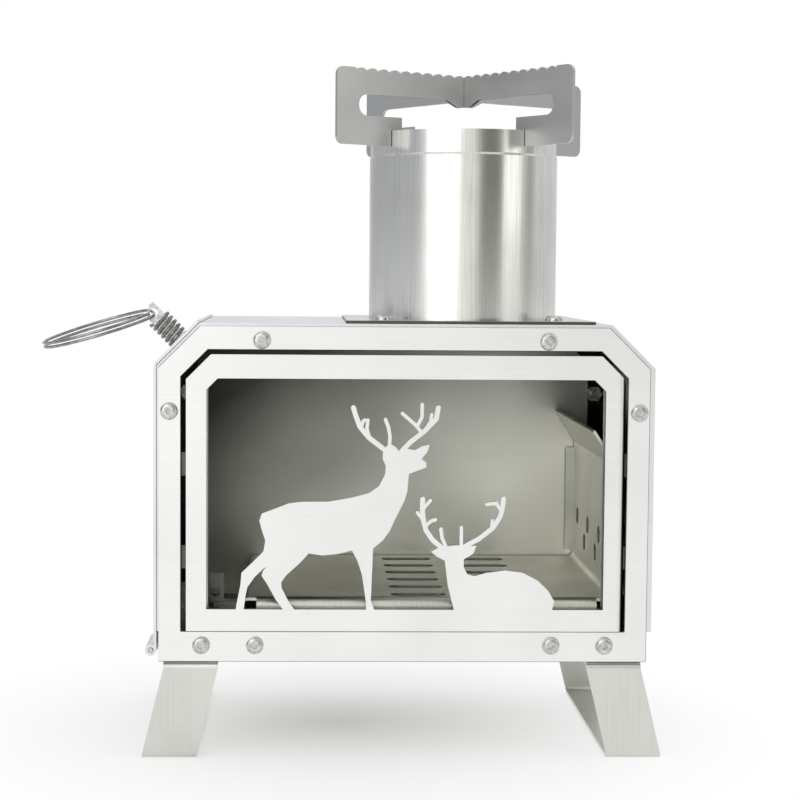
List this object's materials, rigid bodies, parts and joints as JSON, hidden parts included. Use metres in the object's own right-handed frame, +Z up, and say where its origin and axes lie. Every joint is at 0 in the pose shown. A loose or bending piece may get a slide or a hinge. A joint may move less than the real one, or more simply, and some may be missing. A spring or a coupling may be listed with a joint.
{
  "type": "portable wood stove",
  "caption": "Portable folded-steel wood stove with a glazed stag window, side feed door, short chimney and lift-off pot rest.",
  "frame": {"origin": "middle of the stove's footprint, on the ground", "axes": "+X to the stove's right seen from the front, +Y to its back, +Z up"},
  "size_m": [0.2752, 0.1384, 0.2986],
  "materials": {
    "steel_brushed": "brushed",
    "steel_satin": "satin",
    "steel_inner": "satin",
    "glass": "clear",
    "hardware": "machined",
    "wire": "drawn wire",
    "ring_steel": "polished"
  },
  "bodies": {
    "stove": {"front_frame": "steel_brushed", "rear_panel": "steel_inner", "casing": "steel_brushed", "bottom_plate": "steel_inner", "window_plate": "steel_brushed", "glass_pane": "glass", "glass_retainer": "steel_inner", "window_brackets": "steel_inner", "fire_tray": "steel_inner", "tray_rail": "steel_inner", "tray_tab": "steel_inner", "chimney_base": "steel_satin", "chimney_tube": "steel_satin", "right_leg": "steel_satin", "left_leg": "steel_satin", "hinge_bracket": "steel_brushed", "hinge_pin": "hardware", "front_frame_screws": "hardware", "front_frame_nuts": "hardware", "rear_panel_screws": "hardware", "rear_panel_nuts": "hardware", "leg_screws": "hardware", "leg_nuts": "hardware", "chimney_screws": "hardware", "chimney_nuts": "hardware"},
    "door": {"side_door": "steel_brushed", "handle_bar": "hardware", "handle_spring": "wire"},
    "ring": {"handle_ring": "ring_steel"},
    "pot_rest": {"pot_rest_plate_a": "steel_satin", "pot_rest_plate_b": "steel_satin"}
  },
  "joints": [
    {"name": "side_door_hinge", "type": "hinge", "parent": "stove", "child": "door", "pos_m": [-0.08312, 0, 0.047], "axis": [0, -1, 0], "range_deg": [0, 85]},
    {"name": "ring_swing", "type": "hinge", "parent": "door", "child": "ring", "pos_m": [-0.08677, 0, 0.1905], "axis": [0, -1, 0], "range_deg": [-150, 73]},
    {"name": "pot_rest_lift", "type": "slide", "parent": "stove", "child": "pot_rest", "axis": [0, 0, 1], "range_m": [0, 0.04]}
  ]
}
